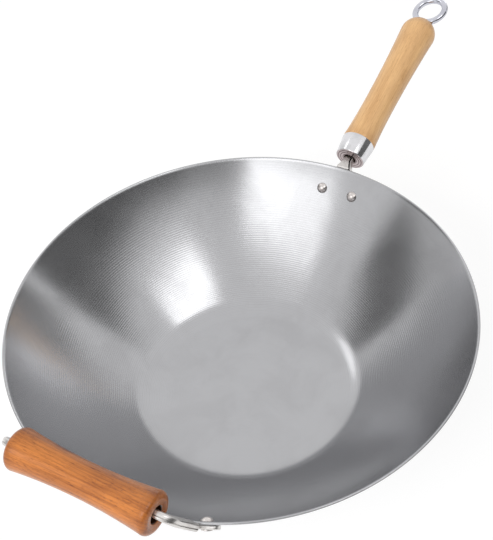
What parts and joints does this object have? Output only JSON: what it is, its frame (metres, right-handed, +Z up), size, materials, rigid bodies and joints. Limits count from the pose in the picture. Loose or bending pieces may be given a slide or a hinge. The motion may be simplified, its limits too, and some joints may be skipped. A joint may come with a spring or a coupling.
{
  "type": "carbon steel wok",
  "caption": "Flat-based carbon steel wok with a long waisted wooden handle, chrome ferrule and hanging loop, and a wooden helper grip on a folded steel strap.",
  "frame": {"origin": "centre of the underside of the flat base", "axes": "+X towards the long handle, along which the wok is longest; +Y across it; +Z up out of the bowl's mouth"},
  "size_m": [0.5813, 0.36, 0.1483],
  "materials": {
    "carbon_steel": "bare spun carbon steel with fine concentric lines",
    "plated_steel": "satin plated folded sheet",
    "rivet_steel": "polished domed heads",
    "zinc_steel": "zinc plated",
    "ferrule_chrome": "bright chrome with a ringed front",
    "pale_wood": "pale lacquered wood, grain along the handle",
    "loop_chrome": "bright chrome wire",
    "warm_wood": "warm brown lacquered wood, grain along the grip"
  },
  "bodies": {
    "wok": {"wok_bowl": "carbon_steel", "handle_stem": "plated_steel", "stem_rivets": "rivet_steel", "stem_barrel": "zinc_steel", "handle_ferrule": "ferrule_chrome", "handle_grip": "pale_wood", "helper_bracket": "plated_steel", "helper_rivets": "rivet_steel"},
    "side_grip": {"helper_grip": "warm_wood"},
    "tie_bolt": {"tie_bolt_loop": "loop_chrome"}
  },
  "joints": [
    {"name": "helper_grip_spin", "type": "hinge", "parent": "wok", "child": "side_grip", "pos_m": [-0.1877, 0, 0.1279], "axis": [0, 1, 0], "continuous": true},
    {"name": "tie_bolt_turn", "type": "hinge", "parent": "wok", "child": "tie_bolt", "pos_m": [0.1922, 0, 0.0956], "axis": [0.9677, 0, 0.2521], "range_deg": [0, 360]}
  ]
}
